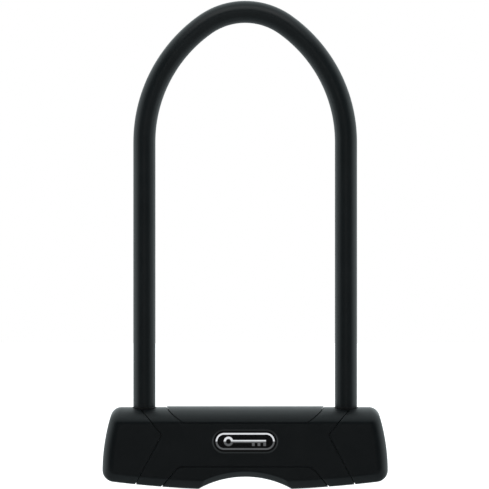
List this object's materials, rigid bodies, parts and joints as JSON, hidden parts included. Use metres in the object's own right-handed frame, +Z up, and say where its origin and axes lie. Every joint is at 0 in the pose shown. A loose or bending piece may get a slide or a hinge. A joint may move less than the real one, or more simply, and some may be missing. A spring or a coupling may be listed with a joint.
{
  "type": "u lock",
  "caption": "Bicycle U lock: coated round shackle that lifts out of a wide crossbar body, with a disc cylinder driving two side bolts.",
  "frame": {"origin": "under the middle of the lock body, level with its lowest points", "axes": "+X along the lock body, the badge faces -Y, +Z up along the shackle's legs"},
  "size_m": [0.171, 0.034, 0.2926],
  "materials": {
    "cover_plastic": "fine matt soft-touch moulding",
    "soft_coating": "satin soft coating",
    "bumper_rubber": "matt",
    "seal_rubber": "matt",
    "gloss_black": "polished",
    "badge_chrome": "polished",
    "hardened_steel": "ground",
    "die_cast_zinc": "as cast",
    "screw_steel": "zinc plated",
    "cylinder_brass": "machined",
    "nickel_plate": "satin nickel",
    "shutter_steel": "satin"
  },
  "bodies": {
    "lock_body": {"steel_case": "hardened_steel", "left_end_plate": "hardened_steel", "right_end_plate": "hardened_steel", "end_plate_screws": "screw_steel", "left_leg_socket": "die_cast_zinc", "right_leg_socket": "die_cast_zinc", "cylinder_carrier": "die_cast_zinc", "carrier_screws": "screw_steel", "lock_barrel": "cylinder_brass", "barrel_pins": "hardened_steel", "left_leg_seal": "seal_rubber", "right_leg_seal": "seal_rubber", "centre_cover": "cover_plastic", "left_end_cap": "cover_plastic", "right_end_cap": "cover_plastic", "top_bumper": "bumper_rubber", "keyway_surround": "cover_plastic", "badge_plate": "gloss_black", "badge_ring": "badge_chrome", "badge_emblem": "badge_chrome"},
    "shackle": {"shackle_bar": "hardened_steel", "shackle_sleeve": "soft_coating"},
    "plug": {"plug_core": "cylinder_brass", "plug_face": "nickel_plate", "anti_drill_disc": "hardened_steel", "detainer_discs": "cylinder_brass", "disc_spacers": "screw_steel", "sidebar": "hardened_steel", "plug_circlip": "screw_steel", "cam_disc": "hardened_steel", "cam_screw": "screw_steel", "shutter_spring": "shutter_steel"},
    "shutter": {"keyhole_shutter": "shutter_steel"},
    "left_bolt_body": {"left_bolt": "hardened_steel", "left_bolt_pin": "screw_steel"},
    "right_bolt_body": {"right_bolt": "hardened_steel", "right_bolt_pin": "screw_steel"}
  },
  "joints": [
    {"name": "shackle_lift", "type": "slide", "parent": "lock_body", "child": "shackle", "axis": [0, 0, 1], "range_m": [0, 0.05]},
    {"name": "plug_turn", "type": "hinge", "parent": "lock_body", "child": "plug", "pos_m": [0, 0, 0.0075], "axis": [0, 0, 1], "range_deg": [0, 90]},
    {"name": "left_bolt_slide", "type": "slide", "parent": "lock_body", "child": "left_bolt_body", "axis": [-1, 0, 0], "range_m": [0, 0.004]},
    {"name": "right_bolt_slide", "type": "slide", "parent": "lock_body", "child": "right_bolt_body", "axis": [1, 0, 0], "range_m": [0, 0.004]},
    {"name": "shutter_slide", "type": "slide", "parent": "plug", "child": "shutter", "axis": [1, 0, 0], "range_m": [0, 0.0026], "stiffness_N_per_m": 40, "springref_m": -0.001, "deforming": ["shutter_spring"]}
  ],
  "couplings": [
    {"joint": "plug_turn", "follows": "left_bolt_slide", "rad_per_m": 392.7},
    {"joint": "right_bolt_slide", "follows": "left_bolt_slide", "ratio": 1}
  ]
}
